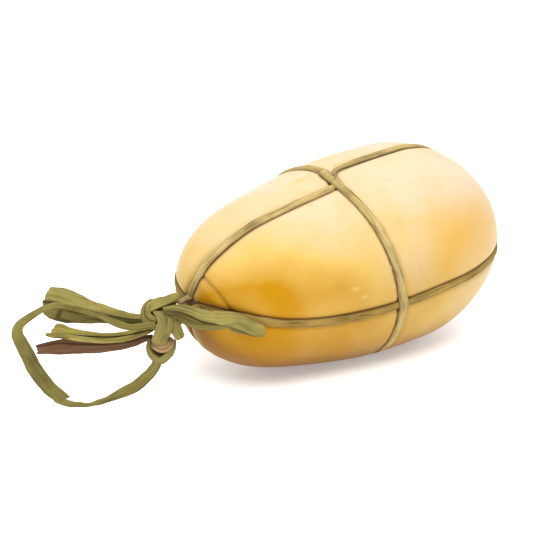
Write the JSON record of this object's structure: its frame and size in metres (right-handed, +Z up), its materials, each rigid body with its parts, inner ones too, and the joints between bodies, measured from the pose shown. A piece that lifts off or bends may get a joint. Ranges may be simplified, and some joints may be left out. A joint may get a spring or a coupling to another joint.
{
  "type": "provola cheese",
  "caption": "Pear-shaped stretched-curd cheese lying on its side, tied with dried leaf strips that end in a knot and a hanging loop",
  "frame": {"origin": "middle of the bounding box at floor level", "axes": "+Z up; +X along the cheese from its tied end to its broad end; -Y is the side with the long front leaf end"},
  "size_m": [0.2664, 0.1002, 0.1006],
  "materials": {
    "rind": "smooth waxy cheese rind, cream to golden",
    "strand": "twisted dried leaf strip, olive",
    "green_leaf": "dried leaf strip, grey green with fine fibres",
    "yellow_leaf": "dried leaf strip, yellow green",
    "brown_leaf": "dried leaf strip, brown with a pink tinge"
  },
  "bodies": {
    "root": {"cheese": "rind", "strand_top_under": "strand", "strand_near_far": "strand", "girth": "strand", "knot_upper": "green_leaf", "knot_lower": "green_leaf", "tail_front": "green_leaf", "tail_wide": "green_leaf", "tail_split": "yellow_leaf", "tail_brown": "brown_leaf", "hanging_loop": "green_leaf"}
  },
  "joints": []
}
